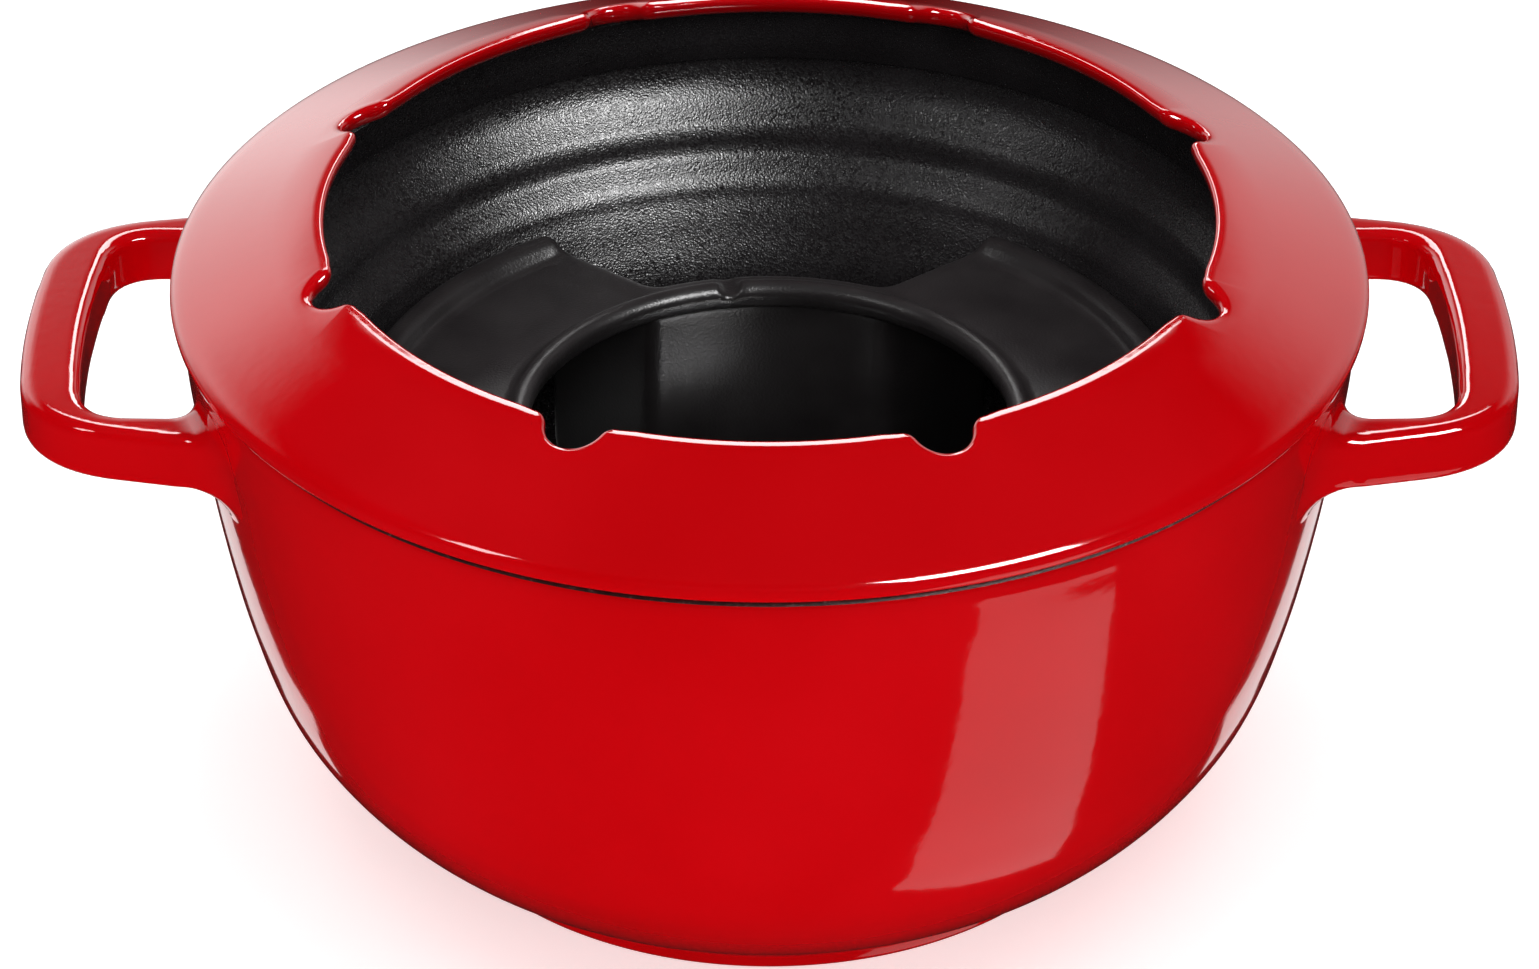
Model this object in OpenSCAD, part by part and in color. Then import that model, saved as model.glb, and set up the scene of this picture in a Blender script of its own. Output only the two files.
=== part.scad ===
// Fondue pot set: a cast pot with two loop handles, a fork ring that lies on its rim,
// and a three-armed burner stand with its burner stored inside the pot.
// Millimetres. Z is up, the origin is on the pot's axis at the underside of the foot,
// X runs from handle to handle.

/* [Pot] */
// Height of the pot's rim above the table
rim_z = 105; // [104.5:0.5:106]
// Outer radius of the foot under the pot
foot_r = 66; // [62:1:68]
// Height of the pot's floor inside
floor_z = 9; // [8:0.5:9]
// Distance from the axis to the outer face of a handle
handle_x = 134; // [129:1:140]
// Thickness of a handle
handle_t = 11; // [8:1:13]
// Height of a handle's top face
handle_z = 96; // [92:1:98]

/* [Fork ring] */
// Outer radius of the fork ring
ring_r = 107; // [106.5:0.5:108]
// Inner radius of the fork ring
mouth_r = 79.2; // [78.6:0.2:80]
// Height of the ring's inner lip above the rim
ring_rise = 15; // [13:1:17]
// Width of a fork notch
notch_w = 10.4; // [8:0.4:12]
// Depth of a fork notch
notch_d = 5.6; // [5.4:0.2:7]
// Turn of the ring about the pot's axis, in degrees
ring_turn = -1.4; // [-20:0.2:20]

/* [Stand] */
// Height of the stand's top face when it is stored in the pot
top_z = 76; // [74:1:78]
// Outer radius of the stand's three lobes
lobe_r = 76.6; // [74:0.2:77]
// Radius of the hole in the middle of the stand
hole_r = 44; // [43.6:0.2:45]
// Wall thickness of the stand
stand_t = 3.4; // [3:0.2:4]

/* [Burner] */
// Outer radius of the burner's bowl
burner_r = 30; // [28:0.5:30]
// Height of the burner's bowl
burner_h = 27; // [25:1:28]
// Reach of the regulator's arm from the axis
arm_r = 38; // [36:0.5:38.5]

/* [Hidden] */
$fn = 96;
tray_z = floor_z + 4;          // top of the lugs the tray is screwed to
bb = tray_z + 1.2;             // underside of the burner
bt = bb + burner_h;            // top of the burner's bowl
rd = bt + 1.4;                 // underside of the regulator disc
lt = bt + 4.4;                 // top of the burner's collar, where the lid rests
red = [0.72, 0.01, 0.04];
black = [0.05, 0.05, 0.05];
steel = [0.7, 0.7, 0.7];

pot();
fork_ring();
stand();
burner_tray();
tray_screws();
burner_bowl();
fuel_cup();
wadding();
gauze();
gauze_ring();
burner_top();
regulator_disc();
regulator_arm();
arm_rivets();
regulator_grip();
snuffer_lid();
snuffer_screw();
snuffer_knob();

// Points of an arc about (cx, cy) with radius r from angle a to angle b in n steps.
function arc(cx, cy, r, a, b, n) =
  [for (i = [0:n]) [cx + r * cos(a + (b - a) * i / n), cy + r * sin(a + (b - a) * i / n)]];

// Outline of the outside of the bowl, from the foot up to the rim.
function bowl_side() = [[foot_r, 0.8], [foot_r, 4.4], [69, 5.2], [72, 7.2], [75.7, 10.3],
  [80.3, 14.4], [85, 19.6], [89, 25.2], [92, 30.6], [94.4, 37], [96.3, 44],
  [98, 51], [99.5, 58.5], [100.9, 66.5], [102.2, 75], [103.4, 84], [104.5, 93],
  [105.2, rim_z - 3], [105, rim_z - 1], [104.2, rim_z]];

// Outline of the inside of the bowl with its two rounded steps, from the rim down.
function bowl_inside() = [[93.2, rim_z], [92.7, 104], [92.6, 100.6], [91.8, 97], [90.7, 94.6],
  [89.3, 93], [87.7, 91.8], [86.4, 90.5], [85.6, 88.7], [85.2, 85.6], [84.5, 83.7], [83, 82.3],
  [81.5, 81], [80.6, 79.3], [79.8, 77.2], [78.4, 73.8], [76.8, 70], [75.1, 66],
  [73.8, 62], [73.4, 58.8], [74.6, 55.8], [77.8, 52.6], [82, 49], [86, 45], [88.2, 40.4],
  [88.2, 35.6], [86, 29.6], [81.4, 23], [75.8, 17.2], [69.8, 12.8], [64, 10.2], [57, floor_z]];

module pot() color(red) difference() {
  union() {
    rotate_extrude() polygon(concat([[0, 3], [56, 3], [59, 0], [65.2, 0]], bowl_side(),
                                    [[0, rim_z]]));
    for (s = [0, 180]) rotate([0, 0, s]) handle();
  }
  rotate_extrude() polygon(concat([[0, rim_z + 9], [93.2, rim_z + 9]], bowl_inside(),
                                  [[0, floor_z]]));
}

// One loop handle, drawn along +X from inside the pot's wall.
module handle() translate([0, 0, handle_z - handle_t]) linear_extrude(height = handle_t)
  difference() {
    polygon(concat([[84, -44], [95, -43], [99, -41.2], [104, -40]],
                   arc(handle_x - 14.2, -25.2, 12.5, -84, -9, 10),
                   arc(handle_x - 200, 0, 200, -6.6, 6.6, 8),
                   arc(handle_x - 14.2, 25.2, 12.5, 9, 84, 10),
                   [[104, 40], [99, 41.2], [95, 43], [84, 44]]));
    polygon(concat([[90, -31.8]], arc(handle_x - 18.2, -26, 5.8, -90, -8, 6),
                   arc(handle_x - 211, 0, 200, -6.4, 6.4, 6),
                   arc(handle_x - 18.2, 26, 5.8, 8, 90, 6), [[90, 31.8]]));
  }

module fork_ring() color(red) rotate([0, 0, ring_turn]) difference() {
  rotate_extrude() polygon([[92.1, rim_z - 3.4], [92.1, rim_z + 5.2],
    [102.4, rim_z + 1.2], [102.8, rim_z + 0.03], [104.4, rim_z + 0.03],
    [106.4, rim_z + 0.5], [ring_r, rim_z + 1.6], [ring_r, rim_z + 2.8],
    [ring_r - 0.8, rim_z + 4], [ring_r - 2.4, rim_z + 5], [mouth_r + 2.4, rim_z + ring_rise],
    [mouth_r + 1, rim_z + ring_rise], [mouth_r, rim_z + ring_rise - 1],
    [mouth_r, rim_z + ring_rise - 3], [mouth_r + 0.8, rim_z + ring_rise - 3.8],
    [mouth_r + 2, rim_z + ring_rise - 4], [88.4, rim_z + 7.4],
    [89.3, rim_z + 6], [89.6, rim_z - 3.4]]);
  for (i = [0:7]) rotate([0, 0, 22.5 + 45 * i]) notch();
}

// The cutter for one fork notch: a round-bottomed slot with flared shoulders.
module notch() translate([0, 0, rim_z + 2]) linear_extrude(height = 20) {
  r = notch_w / 2;
  translate([mouth_r + notch_d - r, 0]) circle(r);
  translate([mouth_r - 6, -r]) square([notch_d - r + 6, notch_w]);
  difference() {
    translate([mouth_r - 6, -r - 2]) square([7.6, notch_w + 4]);
    for (s = [-1, 1]) translate([mouth_r + 1.8, s * (r + 2)]) circle(2);
  }
}

// Flat outline of the gap between two arms of the stand, grown by g on every side.
module gap(g) difference() {
  polygon([[30 - g, -24 - g], [46 - g * 0.3, -24 - g], [48.4 - g * 0.6, -25.6 - 0.9 * g],
           [54 - g * 0.7, -33 - 0.75 * g], [100, -91 - 0.75 * g], [100, 91 + 0.75 * g],
           [54 - g * 0.7, 33 + 0.75 * g], [48.4 - g * 0.6, 25.6 + 0.9 * g],
           [46 - g * 0.3, 24 + g], [30 - g, 24 + g]]);
  circle(r = 50.4 - g);
}

module stand() color(black) difference() {
  union() {
    // plate with three lobes
    difference() {
      union() {
        translate([0, 0, top_z - stand_t]) cylinder(r = lobe_r - 0.8, h = stand_t);
        for (a = [30, 150, 270]) rotate([0, 0, a - 29]) rotate_extrude(angle = 58)
          polygon([[lobe_r - 5.6, top_z - 1], [lobe_r - 5.2, top_z + 1.4],
            [lobe_r - 4.2, top_z + 3], [lobe_r - 2.8, top_z + 3.7], [lobe_r - 1.4, top_z + 3.2],
            [lobe_r - 0.4, top_z + 2], [lobe_r, top_z], [lobe_r, top_z - stand_t + 1],
            [lobe_r - 1, top_z - stand_t]]);
      }
      for (a = [90, 210, 330]) rotate([0, 0, a]) translate([0, 0, top_z - 20])
        linear_extrude(height = 30) gap(0);
    }
    // rolled rim around the hole
    rotate_extrude() translate([hole_r + 1.2, top_z - 0.2]) circle(r = 1.7, $fn = 32);
    // walls that follow the gaps down to the pot's floor
    intersection() {
      for (a = [90, 210, 330]) rotate([0, 0, a]) translate([0, 0, floor_z])
        linear_extrude(height = top_z - floor_z - 1) difference() { gap(stand_t); gap(0); }
      rotate_extrude() polygon([[0, floor_z], [54, floor_z], [60, 13], [66, 19], [70, 27],
        [71.3, 36], [71.3, 66], [72.3, 69.5], [72.3, 80], [0, 80]]);
    }
    // three lugs that carry the burner's tray
    for (a = [90, 210, 330]) rotate([0, 0, a]) translate([38, -7, floor_z])
      cube([10, 14, tray_z - floor_z]);
  }
  translate([0, 0, top_z - 9]) cylinder(r = hole_r, h = 20);
  rotate([0, 0, 99.5]) translate([hole_r, 0, top_z + 1.6]) rotate([0, 90, 0])
    translate([0, 0, -4]) cylinder(r = 1.7, h = 9, $fn = 32);
  for (a = [90, 210, 330]) rotate([0, 0, a]) translate([42.6, 0, floor_z - 1])
    cylinder(r = 1.25, h = 9, $fn = 32);
  // air windows low in the three inner walls
  for (a = [90, 210, 330]) rotate([0, 0, a]) for (s = [-1, 1])
    translate([40, s * 14 - 4, floor_z + 8]) cube([14, 8, 12]);
}

module burner_tray() color(steel) difference() {
  union() {
    translate([0, 0, tray_z]) cylinder(r = 36, h = 1.2);
    for (a = [90, 210, 330]) rotate([0, 0, a]) translate([20, -5.5, tray_z])
      cube([26.2, 11, 1.2]);
    translate([0, 0, tray_z]) difference() {
      cylinder(r = 33.2, h = 4.2);
      translate([0, 0, -1]) cylinder(r = 32, h = 7);
    }
  }
  for (a = [90, 210, 330]) rotate([0, 0, a]) translate([42.6, 0, tray_z - 1])
    cylinder(r = 1.4, h = 4, $fn = 32);
}

module tray_screws() color(steel) for (a = [90, 210, 330]) rotate([0, 0, a])
  translate([42.6, 0, 0]) difference() {
    union() {
      translate([0, 0, floor_z + 0.8]) cylinder(r = 1.25, h = tray_z + 1.2 - floor_z, $fn = 32);
      translate([0, 0, tray_z + 1.2]) cylinder(r = 2.6, h = 1.6, $fn = 32);
    }
    translate([-2, -0.4, tray_z + 2]) cube([4, 0.8, 2]);
  }

module burner_bowl() color(steel) rotate_extrude() polygon([[0, bb], [burner_r - 5, bb],
  [burner_r - 2.4, bb + 0.8], [burner_r - 0.7, bb + 2.6], [burner_r, bb + 5], [burner_r, bt],
  [burner_r - 1, bt], [burner_r - 1, bb + 5.3], [burner_r - 1.6, bb + 3.2],
  [burner_r - 3, bb + 1.7], [burner_r - 5.3, bb + 1], [0, bb + 1]]);

module fuel_cup() color(steel) rotate_extrude() polygon([[0, bb + 1], [21.2, bb + 1],
  [22, bb + 1.8], [22, bt - 4], [21.2, bt - 4], [21.2, bb + 1.8], [0, bb + 1.8]]);

module wadding() color([0.9, 0.88, 0.8]) translate([0, 0, bb + 1.8])
  cylinder(r = 21.1, h = burner_h - 8);

module gauze() color([0.5, 0.5, 0.5]) translate([0, 0, bt - 6.2]) cylinder(r = 21.1, h = 0.6);

module gauze_ring() color(steel) translate([0, 0, bt - 5.6]) difference() {
  cylinder(r = 21.1, h = 1.4);
  translate([0, 0, -1]) cylinder(r = 18.4, h = 4);
}

// Flat top with the flame opening and a circle of air holes.
module burner_top() color(steel) difference() {
  union() {
    translate([0, 0, bt]) cylinder(r = burner_r + 0.8, h = 1.2);
    translate([0, 0, bt - 3]) difference() {
      cylinder(r = burner_r - 1, h = 3.4);
      translate([0, 0, -1]) cylinder(r = burner_r - 1.9, h = 6);
    }
    translate([0, 0, bt]) cylinder(r = 14.4, h = 4.4);
  }
  translate([0, 0, bt - 1]) cylinder(r = 13.4, h = 8);
  for (i = [0:11]) rotate([0, 0, 30 * i]) translate([21.5, 0, bt - 1])
    cylinder(r = 2, h = 4, $fn = 32);
}

// Disc that turns on the top's collar and opens or shuts the air holes.
module regulator_disc() color(steel) difference() {
  translate([0, 0, rd]) cylinder(r = burner_r - 1, h = 1);
  translate([0, 0, rd - 1]) cylinder(r = 14.5, h = 4);
  for (i = [0:11]) rotate([0, 0, 30 * i]) translate([21.5, 0, rd - 1])
    cylinder(r = 2.1, h = 4, $fn = 32);
  for (x = [24.8, 27.4]) rotate([0, 0, 270 + 15]) translate([x, 0, rd - 1])
    cylinder(r = 0.7, h = 4, $fn = 24);
}

module regulator_arm() color(steel) rotate([0, 0, 285]) difference() {
  union() {
    translate([23.4, -3, rd + 1]) cube([arm_r - 23.4, 6, 1]);
    translate([arm_r - 1, -3, rd + 1]) cube([1, 6, 5]);
  }
  for (x = [24.8, 27.4]) translate([x, 0, rd]) cylinder(r = 0.7, h = 4, $fn = 24);
}

module arm_rivets() color(steel) rotate([0, 0, 285]) for (x = [24.8, 27.4])
  translate([x, 0, 0]) {
    translate([0, 0, rd]) cylinder(r = 0.7, h = 2.6, $fn = 24);
    translate([0, 0, rd + 2]) cylinder(r = 1.15, h = 0.7, $fn = 24);
  }

module regulator_grip() color(black) rotate([0, 0, 285]) difference() {
  translate([arm_r - 2.4, -4.6, rd + 2.4]) cube([5, 9.2, 9]);
  translate([arm_r - 1, -3, rd - 1]) cube([1, 6, 7]);
}

module snuffer_lid() color(steel) difference() {
  rotate_extrude() polygon([[0, lt], [15.6, lt], [15.6, rd + 1.3], [17, rd + 1.3],
    [17, lt + 0.6], [16.2, lt + 1.2], [8, lt + 2], [0, lt + 2]]);
  translate([0, 0, bt]) cylinder(r = 1.5, h = 12, $fn = 32);
}

module snuffer_screw() color(steel) {
  translate([0, 0, lt - 1]) cylinder(r = 3, h = 1, $fn = 32);
  translate([0, 0, lt - 0.4]) cylinder(r = 1.5, h = 8, $fn = 32);
}

module snuffer_knob() color(black) difference() {
  rotate_extrude() polygon([[0, lt + 2], [5, lt + 2], [4.4, lt + 3.6], [4, lt + 6.6],
    [4.6, lt + 8.6], [6.6, lt + 10.2], [7, lt + 12], [6.2, lt + 13.6], [3, lt + 14.6],
    [0, lt + 14.8]]);
  translate([0, 0, lt + 1.6]) cylinder(r = 1.5, h = 6, $fn = 32);
}
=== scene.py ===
"""A fondue pot set: glossy red enamelled pot and fork ring, black burner stand and steel burner."""
import math

import bpy
import mathutils
import numpy as np
import openvdb
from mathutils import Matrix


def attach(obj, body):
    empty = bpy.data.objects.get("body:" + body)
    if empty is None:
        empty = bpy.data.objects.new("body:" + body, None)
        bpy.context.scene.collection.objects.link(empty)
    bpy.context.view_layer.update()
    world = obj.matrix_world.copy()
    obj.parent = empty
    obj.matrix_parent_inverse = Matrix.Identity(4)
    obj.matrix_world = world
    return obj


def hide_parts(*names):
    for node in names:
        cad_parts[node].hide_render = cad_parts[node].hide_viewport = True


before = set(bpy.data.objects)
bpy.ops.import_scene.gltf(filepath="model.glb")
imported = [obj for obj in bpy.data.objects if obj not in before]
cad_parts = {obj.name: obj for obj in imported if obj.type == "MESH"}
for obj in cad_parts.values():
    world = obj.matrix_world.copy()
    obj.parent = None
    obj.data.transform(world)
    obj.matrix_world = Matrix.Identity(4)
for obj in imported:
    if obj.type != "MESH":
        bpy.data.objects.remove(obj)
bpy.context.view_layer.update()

MM = 0.001
RIM = 105.0          # height of the pot's rim, mm
LIP_RISE = 15.0      # height of the fork ring's lip above the rim, mm
NOTCHES = 8          # fork notches round the ring
ARMS = (90, 210, 330)    # directions in which the stand's gaps open, degrees


# ---------------------------------------------------------------- mesh helpers
def add_mesh(name, verts, faces, mats, smooth=True, face_mat=None):
    """A mesh object from points in millimetres."""
    me = bpy.data.meshes.new(name)
    me.from_pydata((np.asarray(verts) * MM).tolist(), [], faces)
    me.validate()
    ob = bpy.data.objects.new(name, me)
    bpy.context.scene.collection.objects.link(ob)
    for m in mats:
        me.materials.append(m)
    if face_mat is not None:
        me.polygons.foreach_set("material_index", np.asarray(face_mat, dtype=np.int32))
    me.polygons.foreach_set("use_smooth", [smooth] * len(me.polygons))
    me.update()
    return ob


def curve_through(pts, n=4):
    """Points on a smooth curve through pts, n to each stretch (centripetal)."""
    p = np.asarray(pts, float)
    ext = np.vstack([2 * p[0] - p[1], p, 2 * p[-1] - p[-2]])
    out = []
    for i in range(1, len(ext) - 2):
        a, b, c, d = ext[i - 1:i + 3]
        t0 = 0.0
        t1 = t0 + max(np.linalg.norm(b - a), 1e-6) ** 0.5
        t2 = t1 + max(np.linalg.norm(c - b), 1e-6) ** 0.5
        t3 = t2 + max(np.linalg.norm(d - c), 1e-6) ** 0.5
        for k in range(n):
            t = t1 + (t2 - t1) * k / n
            a1 = (t1 - t) / (t1 - t0) * a + (t - t0) / (t1 - t0) * b
            a2 = (t2 - t) / (t2 - t1) * b + (t - t1) / (t2 - t1) * c
            a3 = (t3 - t) / (t3 - t2) * c + (t - t2) / (t3 - t2) * d
            b1 = (t2 - t) / (t2 - t0) * a1 + (t - t0) / (t2 - t0) * a2
            b2 = (t3 - t) / (t3 - t1) * a2 + (t - t1) / (t3 - t1) * a3
            out.append((t2 - t) / (t2 - t1) * b1 + (t - t1) / (t2 - t1) * b2)
    out.append(p[-1])
    return np.array(out)


def lathe(name, prof, mats, segs=192, mat_of=None):
    """A closed turned body. prof runs anticlockwise in (radius, height); radius 0 is a pole."""
    prof = np.asarray(prof, float)
    ang = 2 * np.pi * np.arange(segs) / segs
    verts, rows = [], []
    for r, z in prof:
        if r < 1e-6:
            rows.append([len(verts)] * segs)
            verts.append((0, 0, z))
        else:
            rows.append(list(range(len(verts), len(verts) + segs)))
            verts.extend(zip(r * np.cos(ang), r * np.sin(ang), [z] * segs))
    faces, fm = [], []
    n = len(prof)
    closed = prof[0][0] > 1e-6 or prof[-1][0] > 1e-6
    for i in range(n if closed else n - 1):
        j = (i + 1) % n
        for k in range(segs):
            l = (k + 1) % segs
            q = [rows[i][k], rows[i][l], rows[j][l], rows[j][k]]
            q = list(dict.fromkeys(q))
            if len(q) > 2:
                faces.append(q)
                fm.append(mat_of(i) if mat_of else 0)
    return add_mesh(name, verts, faces, mats, face_mat=fm)


def grid_mesh(name, field, low, high, step, mats):
    """The zero surface of field(x, y, z), negative inside, sampled on a grid in millimetres."""
    ax = [np.arange(low[i], high[i] + step, step) for i in range(3)]
    x, y, z = np.meshgrid(*ax, indexing="ij")
    d = np.clip(field(x, y, z), -3 * step, 3 * step).astype(np.float32)
    g = openvdb.FloatGrid(3 * step)
    g.copyFromArray(d)
    pts, quads = g.convertToQuads(isovalue=0.0)
    pts = pts * step + np.array(low)
    ob = add_mesh(name, pts, quads[:, ::-1].tolist(), mats)
    return ob


def smin(a, b, k):
    """Smooth minimum: two shapes joined by a fillet about k wide."""
    h = np.clip(0.5 + 0.5 * (b - a) / k, 0, 1)
    return b + (a - b) * h - k * h * (1 - h)


def smax(a, b, k):
    """Smooth maximum: an intersection with its edge rounded."""
    return -smin(-a, -b, k)


def rounded(a, b, r):
    """Intersection of two distance fields with an edge of radius r."""
    u, v = a + r, b + r
    return np.hypot(np.maximum(u, 0), np.maximum(v, 0)) + np.minimum(np.maximum(u, v), 0) - r


# ---------------------------------------------------------------- materials
def material(name):
    """A new material with its node tree and its Principled node."""
    m = bpy.data.materials.new(name)
    m.use_nodes = True
    nt = m.node_tree
    return m, nt, nt.nodes["Principled BSDF"]


def texture(nt, kind, scale, **props):
    """A texture node on object coordinates; scale is in features per metre."""
    co = nt.nodes.get("co") or nt.nodes.new("ShaderNodeTexCoord")
    co.name = "co"
    t = nt.nodes.new("ShaderNodeTex" + kind)
    t.inputs["Scale"].default_value = scale
    for k, v in props.items():
        if k in t.inputs:
            t.inputs[k].default_value = v
        else:
            setattr(t, k, v)
    nt.links.new(co.outputs["Object"], t.inputs["Vector"])
    return t


def ramp(nt, source, stops):
    """A colour ramp on source, with stops as (position, colour)."""
    r = nt.nodes.new("ShaderNodeValToRGB")
    el = r.color_ramp.elements
    while len(el) > 1:
        el.remove(el[0])
    el[0].position, el[0].color = stops[0][0], (*stops[0][1], 1)
    for p, c in stops[1:]:
        e = el.new(p)
        e.color = (*c, 1)
    nt.links.new(source, r.inputs[0])
    return r


def bump(nt, height, strength, distance, normal=None):
    b = nt.nodes.new("ShaderNodeBump")
    b.inputs["Strength"].default_value = strength
    b.inputs["Distance"].default_value = distance
    nt.links.new(height, b.inputs["Height"])
    if normal is not None:
        nt.links.new(normal, b.inputs["Normal"])
    return b.outputs["Normal"]


def grey(v):
    return (v, v, v)


def red_enamel(name):
    """Glassy red enamel: even colour with slow clouds and a faint orange peel."""
    m, nt, b = material(name)
    cloud = texture(nt, "Noise", 22, Detail=3.0)
    col = ramp(nt, cloud.outputs["Fac"], [(0.3, (0.55, 0.0, 0.002)), (0.7, (0.62, 0.0, 0.003))])
    nt.links.new(col.outputs["Color"], b.inputs["Base Color"])
    peel = texture(nt, "Noise", 420, Detail=1.0)
    nt.links.new(bump(nt, peel.outputs["Fac"], 0.05, 0.0004), b.inputs["Normal"])
    rough = ramp(nt, cloud.outputs["Fac"], [(0.2, grey(0.05)), (0.8, grey(0.10))])
    nt.links.new(rough.outputs["Color"], b.inputs["Roughness"])
    b.inputs["IOR"].default_value = 1.5
    b.inputs["Coat Weight"].default_value = 0.6
    b.inputs["Coat Roughness"].default_value = 0.03
    return m


def speckled_black(name):
    """Matt black enamel with a fine grain and tiny bright flecks."""
    m, nt, b = material(name)
    cloud = texture(nt, "Noise", 60, Detail=4.0)
    col = ramp(nt, cloud.outputs["Fac"], [(0.3, (0.013, 0.011, 0.012)), (0.75, (0.026, 0.023, 0.025))])
    nt.links.new(col.outputs["Color"], b.inputs["Base Color"])
    grain = texture(nt, "Noise", 2300, Detail=2.0, Roughness=0.6)
    cells = texture(nt, "Voronoi", 2600)
    n1 = bump(nt, grain.outputs["Fac"], 0.30, 0.00025)
    n2 = bump(nt, cells.outputs["Distance"], 0.30, 0.0002, n1)
    nt.links.new(n2, b.inputs["Normal"])
    pick = nt.nodes.new("ShaderNodeSeparateColor")
    nt.links.new(cells.outputs["Color"], pick.inputs[0])
    rough = ramp(nt, pick.outputs[0], [(0.1, grey(0.12)), (0.3, grey(0.24)), (0.8, grey(0.32))])
    nt.links.new(rough.outputs["Color"], b.inputs["Roughness"])
    b.inputs["Specular IOR Level"].default_value = 0.6
    return m


def satin_black(name):
    """Satin black stove enamel on cast iron."""
    m, nt, b = material(name)
    cloud = texture(nt, "Noise", 90, Detail=4.0)
    col = ramp(nt, cloud.outputs["Fac"], [(0.3, (0.020, 0.017, 0.018)), (0.75, (0.032, 0.028, 0.029))])
    nt.links.new(col.outputs["Color"], b.inputs["Base Color"])
    grain = texture(nt, "Noise", 2000, Detail=2.0)
    nt.links.new(bump(nt, grain.outputs["Fac"], 0.22, 0.0003), b.inputs["Normal"])
    rough = ramp(nt, cloud.outputs["Fac"], [(0.2, grey(0.28)), (0.8, grey(0.36))])
    nt.links.new(rough.outputs["Color"], b.inputs["Roughness"])
    return m


def bare_iron(name):
    """The dark bare iron where the enamel stops at the rim, with small pale spots."""
    m, nt, b = material(name)
    spots = texture(nt, "Noise", 700, Detail=5.0, Roughness=0.7)
    col = ramp(nt, spots.outputs["Fac"], [(0.35, (0.012, 0.006, 0.006)), (0.6, (0.05, 0.015, 0.015)),
                                          (0.75, (0.25, 0.18, 0.17))])
    nt.links.new(col.outputs["Color"], b.inputs["Base Color"])
    nt.links.new(bump(nt, spots.outputs["Fac"], 0.5, 0.0005), b.inputs["Normal"])
    b.inputs["Roughness"].default_value = 0.4
    b.inputs["Metallic"].default_value = 0.3
    return m


def steel(name, tint, rough=0.28, brushed=True, scale=260):
    """Stainless steel with turned or drawn lines and faint stains."""
    m, nt, b = material(name)
    stain = texture(nt, "Noise", 70, Detail=4.0)
    col = ramp(nt, stain.outputs["Fac"], [(0.3, tuple(0.86 * c for c in tint)), (0.7, tint)])
    nt.links.new(col.outputs["Color"], b.inputs["Base Color"])
    if brushed:
        line = texture(nt, "Wave", scale, wave_type="RINGS", rings_direction="Z", Distortion=1.2, Detail=3.0)
    else:
        line = texture(nt, "Noise", 1200, Detail=2.0)
    height = line.outputs["Fac"]
    nt.links.new(bump(nt, height, 0.06, 0.0002), b.inputs["Normal"])
    r = ramp(nt, stain.outputs["Fac"], [(0.2, grey(rough * 0.85)), (0.8, grey(rough * 1.2))])
    nt.links.new(r.outputs["Color"], b.inputs["Roughness"])
    b.inputs["Metallic"].default_value = 1.0
    return m


def phenolic(name):
    """Black moulded handle plastic."""
    m, nt, b = material(name)
    fleck = texture(nt, "Noise", 800, Detail=3.0)
    col = ramp(nt, fleck.outputs["Fac"], [(0.35, (0.010, 0.010, 0.010)), (0.7, (0.022, 0.021, 0.020))])
    nt.links.new(col.outputs["Color"], b.inputs["Base Color"])
    nt.links.new(bump(nt, fleck.outputs["Fac"], 0.12, 0.0002), b.inputs["Normal"])
    r = ramp(nt, fleck.outputs["Fac"], [(0.3, grey(0.28)), (0.7, grey(0.38))])
    nt.links.new(r.outputs["Color"], b.inputs["Roughness"])
    return m


def wool(name):
    """Pale absorbent wadding."""
    m, nt, b = material(name)
    f = texture(nt, "Noise", 900, Detail=6.0, Roughness=0.7)
    col = ramp(nt, f.outputs["Fac"], [(0.3, (0.62, 0.58, 0.50)), (0.7, (0.86, 0.83, 0.76))])
    nt.links.new(col.outputs["Color"], b.inputs["Base Color"])
    nt.links.new(bump(nt, f.outputs["Fac"], 0.7, 0.0012), b.inputs["Normal"])
    b.inputs["Roughness"].default_value = 0.9
    b.inputs["Sheen Weight"].default_value = 0.3
    return m


RED = red_enamel("red_enamel")
RED_RING = red_enamel("ring_enamel")
SPECKLE = speckled_black("speckled_black")
SATIN = satin_black("satin_black")
IRON = bare_iron("bare_iron")
SHEET = steel("steel_sheet", (0.60, 0.59, 0.57), 0.34, brushed=False)
BRIGHT = steel("steel_bright", (0.70, 0.69, 0.67), 0.22, brushed=False)
BOWL = steel("steel_bowl", (0.62, 0.61, 0.60), 0.26)
CUP = steel("steel_cup", (0.50, 0.49, 0.47), 0.40)
TOPS = steel("steel_top", (0.63, 0.62, 0.60), 0.27)
DISC = steel("steel_disc", (0.58, 0.58, 0.59), 0.24)
LID = steel("steel_lid", (0.66, 0.65, 0.63), 0.22)
WIRE = steel("gauze_wire", (0.45, 0.43, 0.40), 0.38, brushed=False)
GRIP = phenolic("black_grip")
WOOL = wool("wadding")

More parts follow.
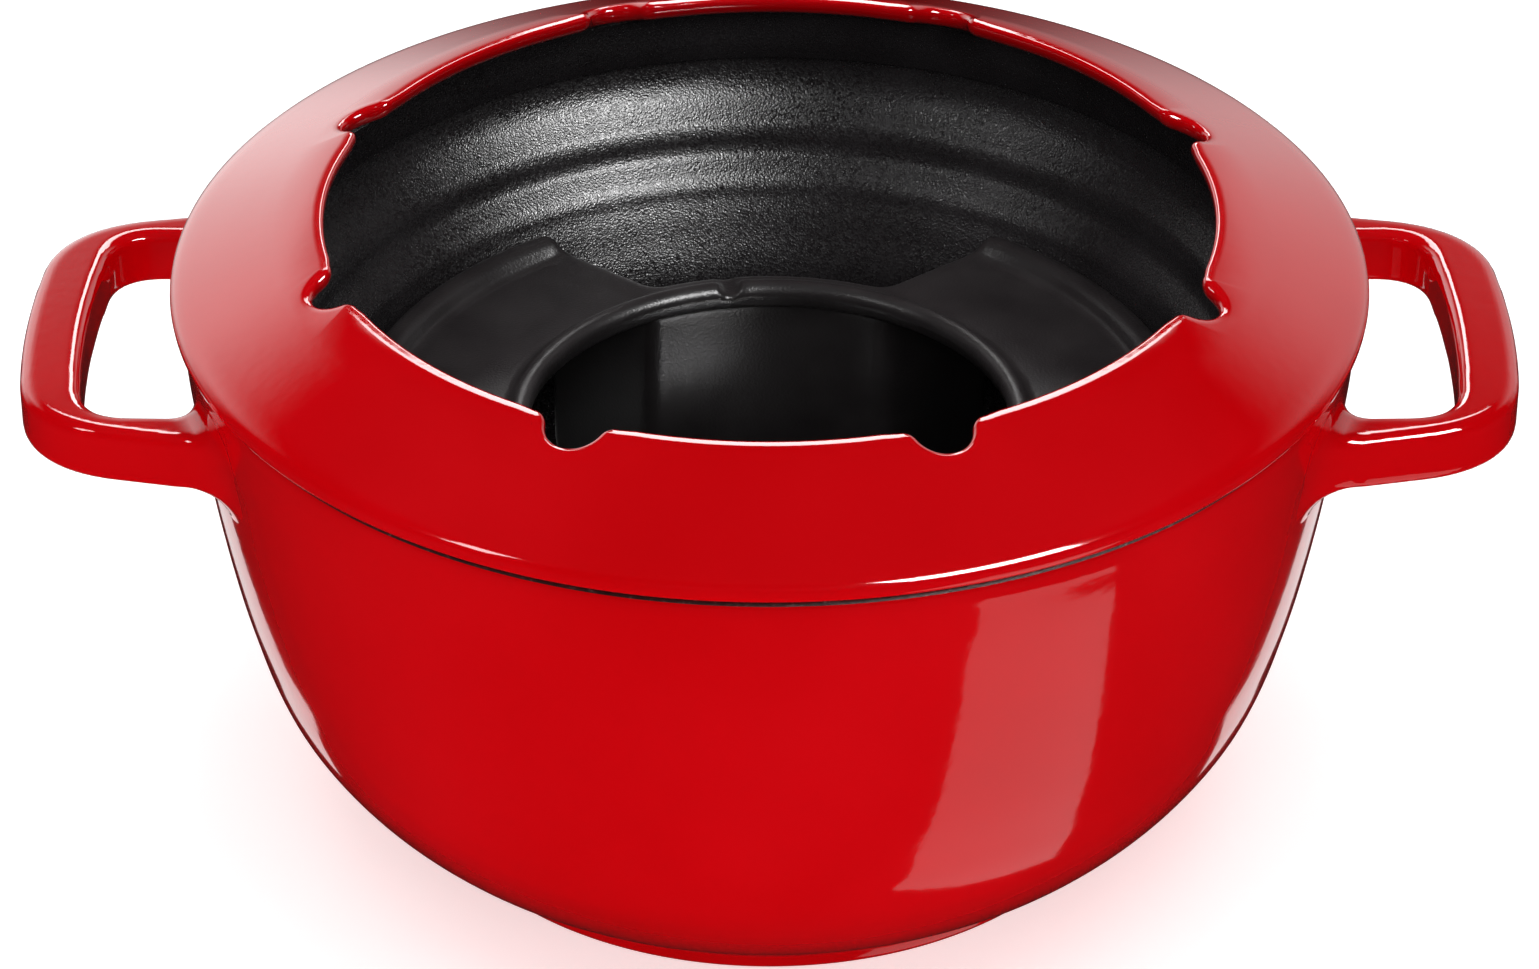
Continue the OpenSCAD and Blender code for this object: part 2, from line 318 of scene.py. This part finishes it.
# ---------------------------------------------------------------- pot
SIDE = [(66, 4.4), (67.6, 4.5), (69, 5.2), (72, 7.2), (75.7, 10.3), (80.3, 14.4), (85, 19.6),
        (89, 25.2), (92, 30.6), (94.4, 37), (96.3, 44), (98, 51), (99.5, 58.5), (100.9, 66.5),
        (102.2, 75), (103.4, 84), (104.5, 93), (105.0, 99.6), (105.15, 102.2), (104.8, 103.9),
        (103.8, 104.95)]
INSIDE = [(94.4, 105), (93.4, 104.6), (92.8, 103.6), (92.6, 100.6), (91.8, 97), (90.6, 94.4),
          (89.4, 92.7), (88.0, 91.0), (86.6, 89.3), (85.7, 87.3), (85.2, 85.3), (84.5, 83.7),
          (83.1, 82.1), (81.6, 80.4), (80.6, 78.8), (79.8, 76.8), (78.4, 73.8), (76.8, 70),
          (75.1, 66), (73.8, 62), (73.4, 58.8), (74.6, 55.8), (77.8, 52.6), (82, 49), (86, 45),
          (88.2, 40.4), (88.2, 35.6), (86, 29.6), (81.4, 23), (75.8, 17.2), (69.8, 12.8),
          (64, 10.2), (57, 9.0)]
side = curve_through(SIDE, 5)
inside = curve_through(INSIDE, 5)
foot = [(0, 3.0), (54.6, 3.0), (56.0, 2.6), (58.4, 0.3), (59.4, 0.0), (64.6, 0.0), (65.6, 0.25),
        (66.0, 1.0), (66.0, 4.0)]
prof = np.vstack([foot, side, inside, [(0, 9.0)]])
n_foot, n_side = len(foot), len(side)


BARE_FOOT = 4        # points of the profile under the foot that are left bare
BARE_RIM = 6         # points of the side, up to the rim, that are left bare


def pot_mat(i):
    """Material of profile stretch i: 0 red enamel, 1 black enamel, 2 bare iron."""
    if i < BARE_FOOT:
        return 2
    if i < n_foot + n_side - BARE_RIM:
        return 0
    return 2 if i < n_foot + n_side + 1 else 1


pot_body = lathe("pot_body", prof, [RED, SPECKLE, IRON], 288, pot_mat)


def side_r(z):
    """Radius of the pot's side at height z."""
    return np.interp(z, side[:, 1], side[:, 0])


def handle_field(x, y, z):
    """The right handle: a flat loop with a filleted root on the pot's side."""
    ay = np.abs(y)
    arm = 40.2 - 0.20 * (x - 104)
    arm = np.where(x < 104, 40.2 + 0.08 * np.maximum(104 - x, 0) ** 1.5, arm)
    bar = 134.0 - 0.0026 * y ** 2
    outer = smax((ay - arm) * 0.98, x - bar, 15)
    hole = smax(ay - 31.8, x - (123.0 - 0.0024 * y ** 2), 9)
    flat = smax(outer, -hole, 0.8)
    slab = np.abs(z - 90.5 - 0.012 * (x - 104)) - (5.35 + 0.1 * np.cos(ay / 18))
    loop = rounded(flat, slab, 1.9)
    wall = (np.hypot(x, y) - side_r(z)) * 0.99
    d = smin(loop, wall + 0.10, 6.0)
    return np.maximum(np.maximum(d, -(wall + 3.2)), loop - 9)


def handle(name, flip):
    """One handle; flip turns it half a turn to the left side."""
    ob = grid_mesh(name, handle_field, (88, -52, 74), (137, 52, 106), 0.7, [RED])
    if flip:
        v = np.empty(len(ob.data.vertices) * 3)
        ob.data.vertices.foreach_get("co", v)
        v = v.reshape(-1, 3) * (-1, -1, 1)
        ob.data.vertices.foreach_set("co", v.ravel())
        ob.data.update()
    return ob


handles = [handle("handle_right", False), handle("handle_left", True)]
for ob in [pot_body] + handles:
    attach(ob, "pot")
    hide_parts("pot")


# ---------------------------------------------------------------- fork ring
def ring_edge():
    """The ring's inner outline with its eight flared fork notches, as points in order."""
    mouth, depth, half, shoulder = 79.2, 5.6, 5.2, 3.0
    mid = mouth + depth - half                      # centre of the round bottom
    su = mouth + shoulder                           # centres of the two shoulders
    sv = math.sqrt((half + shoulder) ** 2 - (su - mid) ** 2)
    meet = math.degrees(math.atan2(sv, su - mid))
    pts = []
    for i in range(NOTCHES):
        a0 = math.radians(22.5 + 45 * i - 1.4)
        bottom = [(mid + half * math.cos(t), half * math.sin(t))
                  for t in np.radians(np.linspace(-meet, meet, 19))]
        shoulder_b = [(su + shoulder * math.cos(t), sv + shoulder * math.sin(t))
                      for t in np.radians(np.linspace(meet - 180, -180, 10))][1:]
        shoulder_a = [(u, -v) for u, v in reversed(shoulder_b)]
        loc = shoulder_a + bottom + shoulder_b
        for u, v in loc:
            pts.append((u * math.cos(a0) - v * math.sin(a0), u * math.sin(a0) + v * math.cos(a0)))
        end = math.atan2(sv, mouth)
        for a in np.linspace(a0 + end, a0 + math.radians(45) - end, 18)[1:-1]:
            pts.append((mouth * math.cos(a), mouth * math.sin(a)))
    return np.array(pts)


def ring_top(r):
    """Height of the ring's sloping top at radius r."""
    return RIM + 5.0 + 10.0 * np.clip((104.6 - r) / (104.6 - 81.6), 0, 1.2)


def fork_ring():
    """The ring as loops of points that run from the lip over the top to the underside."""
    edge = ring_edge()
    n = len(edge)
    tang = np.roll(edge, -1, 0) - np.roll(edge, 1, 0)
    tang /= np.linalg.norm(tang, axis=1)[:, None]
    out = np.c_[tang[:, 1], -tang[:, 0]]            # points away from the axis
    ang = np.unwrap(np.arctan2(edge[:, 1], edge[:, 0]))
    # angles of the outer circles spread the notches' points out evenly
    even = ang[0] + 2 * np.pi * np.arange(n) / n
    far = 0.5 * ang + 0.5 * even
    loops = []

    # rounded lip, from its underside round to the top
    lip = [(2.2, -3.9), (1.3, -3.8), (0.6, -3.4), (0.15, -2.8), (0.0, -2.1), (0.05, -1.4),
           (0.3, -0.8), (0.75, -0.35), (1.4, -0.09), (2.2, 0.0)]
    for off, dz in lip:
        p = edge + out * off
        z = ring_top(np.hypot(p[:, 0], p[:, 1])) + dz
        loops.append(np.c_[p, np.minimum(z, RIM + LIP_RISE)])
    slope = [88.6, 89.6, 91, 93, 95.5, 98, 100.5, 102.6, 104.0]
    for k, r in enumerate(slope):
        w = min(1.0, (k + 1) / 3.0)
        a = ang * (1 - w) + far * w
        loops.append(np.c_[r * np.cos(a), r * np.sin(a), np.full(n, ring_top(r))])
    rim = [(105.0, 4.75), (105.9, 4.25), (106.6, 3.6), (106.95, 2.9), (107, 2.2), (106.9, 1.5),
           (106.5, 0.9), (105.8, 0.6)]
    under = [(104.8, 0.35), (103.6, 0.05), (102.9, 0.05), (102.5, 1.1), (101.4, 1.7), (97, 3.4),
             (93.2, 4.9), (92.3, 4.9), (92.1, 4.2), (92.1, -2.6), (91.7, -3.3), (90.8, -3.4),
             (90.0, -3.3), (89.6, -2.7), (89.4, 2.0), (89.2, 5.4), (88.6, 6.8), (87.9, 7.5)]
    for r, dz in rim + under:
        loops.append(np.c_[r * np.cos(far), r * np.sin(far), np.full(n, RIM + dz)])
    verts = np.vstack(loops)
    faces, fm, m = [], [], len(loops)
    seat = len(lip) + len(slope) + len(rim)         # first loop of the underside
    bare = 3                                        # loops where the ring sits on bare iron
    for i in range(m):
        j = (i + 1) % m
        for k in range(n):
            l = (k + 1) % n
            faces.append([i * n + k, j * n + k, j * n + l, i * n + l])
            fm.append(0 if i < seat else (2 if i < seat + bare else 1))
    ob = add_mesh("fork_ring_enamel", verts, faces, [RED_RING, SPECKLE, IRON], face_mat=fm)
    return ob


ring = fork_ring()
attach(ring, "fork_ring")
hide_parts("fork_ring")


# ---------------------------------------------------------------- stand
def turned(x, y, degrees):
    """x and y measured along and across the direction at that angle."""
    c, s = math.cos(math.radians(degrees)), math.sin(math.radians(degrees))
    return x * c + y * s, -x * s + y * c


def gap_field(u, v):
    """Distance to the gap between two arms; u points out through its middle."""
    v = np.abs(v)
    side_line = (v - 25.6) * 0.623 - (u - 48.4) * 0.782
    d = smax(side_line, 50.4 - np.hypot(u, v), 3.0)
    return np.maximum(d, 20 - u)


# outer limit of the walls: heights and radii, mm
ENV_Z = [9, 9.4, 13, 19, 27, 36, 66, 69.5, 76]
ENV_R = [53, 54, 60, 66, 70, 71.3, 71.3, 72.3, 72.3]


def stand_field(x, y, z):
    """The stand: a lobed plate with beaded edges on bent walls, with lugs and air windows."""
    r = np.hypot(x, y)
    gap = None
    for a in ARMS:
        g = gap_field(*turned(x, y, a))
        gap = g if gap is None else np.minimum(gap, g)
    plan = smax(r - 76.3, -gap, 2.0)
    plate = rounded(plan, np.abs(z - 74.35) - 1.65, 0.9)
    bead = np.hypot(r - 73.4, (z - 75.9) * 0.95) - 3.1
    bead = smax(bead, -gap + 0.4, 1.5)
    d = smin(plate, bead, 1.6)
    wall = np.maximum(np.abs(gap - 1.7) - 1.7, 30 - r)
    env = r - np.interp(z, ENV_Z, ENV_R)
    wall = rounded(rounded(wall, env * 0.95, 0.9), np.maximum(9.02 - z, z - 75.5), 0.8)
    d = smin(d, wall, 2.2)
    hole = r - 44.2
    d = smax(d, -np.maximum(hole, 66 - z), 0.8)
    rim = np.hypot(r - 45.7, z - 75.7) - 2.1
    d = smin(d, rim, 1.0)
    u, v = turned(x, y, 99.5)                       # the small notch in the hole's rim
    notch = np.maximum(np.hypot(v, z - 77.6) - 1.9, np.maximum(40 - u, u - 50))
    d = smax(d, -notch, 0.9)
    for a in ARMS:
        u, v = turned(x, y, a)
        lug = rounded(np.maximum(np.abs(u - 43) - 5, np.abs(v) - 7), np.abs(z - 11) - 1.98, 0.5)
        d = np.minimum(d, lug)
        win = rounded(np.maximum(np.abs(np.abs(v) - 14) - 4, np.abs(u - 47) - 8),
                      np.abs(z - 23) - 6, 1.5)
        d = smax(d, -win, 0.8)
    return d


stand = grid_mesh("burner_stand", stand_field, (-78, -78, 7), (78, 78, 81.6), 0.75, [SATIN])
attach(stand, "stand")
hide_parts("stand")

# ---------------------------------------------------------------- plain CAD nodes
for node, mat in {"burner_tray": SHEET, "tray_screws": BRIGHT, "burner_bowl": BOWL, "fuel_cup": CUP,
                  "wadding": WOOL, "gauze": WIRE, "gauze_ring": BRIGHT, "burner_top": TOPS,
                  "regulator_disc": DISC, "regulator_arm": SHEET, "arm_rivets": BRIGHT,
                  "regulator_grip": GRIP, "snuffer_lid": LID, "snuffer_screw": BRIGHT,
                  "snuffer_knob": GRIP}.items():
    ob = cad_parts[node]
    ob.data.materials.clear()
    ob.data.materials.append(mat)

# ---------------------------------------------------------------- stage, lights, camera
scene = bpy.context.scene
scene.view_settings.view_transform = "Standard"


def stage_card(name, corners, strength, soft=0.0):
    """A glowing card that only reflections see; soft is how far its edges fade, 0 to 0.5."""
    me = bpy.data.meshes.new(name)
    me.from_pydata(corners, [], [(0, 1, 2, 3)])
    uv = me.uv_layers.new(name="uv")
    for i, c in enumerate([(0, 0), (1, 0), (1, 1), (0, 1)]):
        uv.data[i].uv = c
    ob = bpy.data.objects.new(name, me)
    scene.collection.objects.link(ob)
    m = bpy.data.materials.new(name)
    m.use_nodes = True
    nt = m.node_tree
    nt.nodes.clear()
    em = nt.nodes.new("ShaderNodeEmission")
    em.inputs["Strength"].default_value = strength
    out = nt.nodes.new("ShaderNodeOutputMaterial")
    nt.links.new(em.outputs[0], out.inputs[0])
    if soft:
        co = nt.nodes.new("ShaderNodeTexCoord")
        split = nt.nodes.new("ShaderNodeSeparateXYZ")
        nt.links.new(co.outputs["UV"], split.inputs[0])
        fades = []
        for axis in (0, 1):
            stops = [(0, grey(0)), (soft, grey(1)), (1 - soft, grey(1)), (1, grey(0))]
            r = ramp(nt, split.outputs[axis], stops)
            r.color_ramp.interpolation = "EASE"
            fades.append(r)
        mul = nt.nodes.new("ShaderNodeMath")
        mul.operation = "MULTIPLY"
        for k in (0, 1):
            nt.links.new(fades[k].outputs["Color"], mul.inputs[k])
        scale = nt.nodes.new("ShaderNodeMath")
        scale.operation = "MULTIPLY"
        scale.inputs[1].default_value = strength
        nt.links.new(mul.outputs[0], scale.inputs[0])
        nt.links.new(scale.outputs[0], em.inputs["Strength"])
    m.cycles.emission_sampling = "NONE"
    me.materials.append(m)
    ob.visible_camera = False
    ob.visible_diffuse = False
    ob.visible_shadow = False
    ob.visible_transmission = False
    return ob


def area(name, loc, target, size, power, glossy=True, diffuse=True):
    """A rectangular light aimed at target, which glossy and diffuse rays may be kept from."""
    li = bpy.data.lights.new(name, "AREA")
    li.shape = "RECTANGLE"
    li.size, li.size_y = size
    li.energy = power
    ob = bpy.data.objects.new(name, li)
    scene.collection.objects.link(ob)
    ob.location = loc
    d = np.array(target) - np.array(loc)
    ob.rotation_euler = mathutils.Vector(d).to_track_quat("-Z", "Y").to_euler()
    ob.visible_glossy = glossy
    ob.visible_diffuse = diffuse
    ob.visible_camera = False
    return ob


floor_me = bpy.data.meshes.new("floor")
floor_me.from_pydata([(-12, -12, 0), (12, -12, 0), (12, 12, 0), (-12, 12, 0)], [], [(0, 1, 2, 3)])
floor = bpy.data.objects.new("floor", floor_me)
scene.collection.objects.link(floor)
fm = bpy.data.materials.new("floor_paper")
fm.use_nodes = True
fb = fm.node_tree.nodes["Principled BSDF"]
fb.inputs["Base Color"].default_value = (0.93, 0.93, 0.93, 1)
fb.inputs["Roughness"].default_value = 0.9
fb.inputs["Specular IOR Level"].default_value = 0.0
fb.inputs["Emission Color"].default_value = (1, 1, 1, 1)
fb.inputs["Emission Strength"].default_value = 0.55
floor_me.materials.append(fm)
floor.visible_glossy = False

# reflections: a low window at the front right, pale strips behind both sides, a backdrop
stage_card("card_window", [(0.352, -0.432, -0.25), (0.460, -0.195, -0.25), (0.204, -0.039, -0.25),
                           (0.101, -0.166, -0.25)], 0.55)
for s in (-1, 1):
    stage_card("card_side_%d" % s, [(s * 0.215, 0.20, -0.25), (s * 0.285, 0.19, -0.25),
                                    (s * 0.345, 0.42, -0.25), (s * 0.245, 0.44, -0.25)], 0.9)
for s, name, power in ((-1, "left", 1.6), (1, "right", 0.8)):
    stage_card("card_back_" + name, [(s * 1.15, 0.35, -0.15), (s * 0.05, 1.30, -0.45),
                                     (s * 0.05, 1.30, 0.85), (s * 1.15, 0.35, 1.15)], power, soft=0.35)

stage_card("card_back_mid", [(-0.60, 1.25, 0.45), (0.60, 1.25, 0.45), (0.60, 1.25, 1.35),
                             (-0.60, 1.25, 1.35)], 7.0, soft=0.15)

area("top_soft", (0.0, 0.1, 1.6), (0, 0, 0), (2.2, 2.2), 25, glossy=False)
area("front_soft", (0.0, -1.6, 0.9), (0, 0, 0.05), (1.6, 1.0), 9.5, glossy=False)
area("key_right", (0.80, -0.88, 1.10), (0, 0, 0.06), (0.80, 0.50), 38, diffuse=False)
area("key_left", (-0.98, -0.60, 1.05), (0, 0, 0.06), (0.22, 0.35), 2.2, diffuse=False)

world = bpy.data.worlds.new("studio")
scene.world = world
world.use_nodes = True
wn = world.node_tree
bg = wn.nodes["Background"]
bg.inputs["Color"].default_value = (1, 1, 1, 1)
path = wn.nodes.new("ShaderNodeLightPath")
mix = wn.nodes.new("ShaderNodeMix")
mix.inputs[2].default_value = 0.15
mix.inputs[3].default_value = 0.008
wn.links.new(path.outputs["Is Glossy Ray"], mix.inputs[0])
cam_mix = wn.nodes.new("ShaderNodeMix")
wn.links.new(path.outputs["Is Camera Ray"], cam_mix.inputs[0])
wn.links.new(mix.outputs[0], cam_mix.inputs[2])
cam_mix.inputs[3].default_value = 1.0
wn.links.new(cam_mix.outputs[0], bg.inputs["Strength"])

cam_data = bpy.data.cameras.new("camera")
cam_data.sensor_width = 36
cam_data.lens = 5500 / 1539 * 36
cam = bpy.data.objects.new("camera", cam_data)
scene.collection.objects.link(cam)
elev, dist, aim = math.radians(32.4), 1.010, 0.0611
cam.location = (0, -dist * math.cos(elev), aim + dist * math.sin(elev))
cam.rotation_euler = (math.pi / 2 - elev, 0, 0)
scene.camera = cam
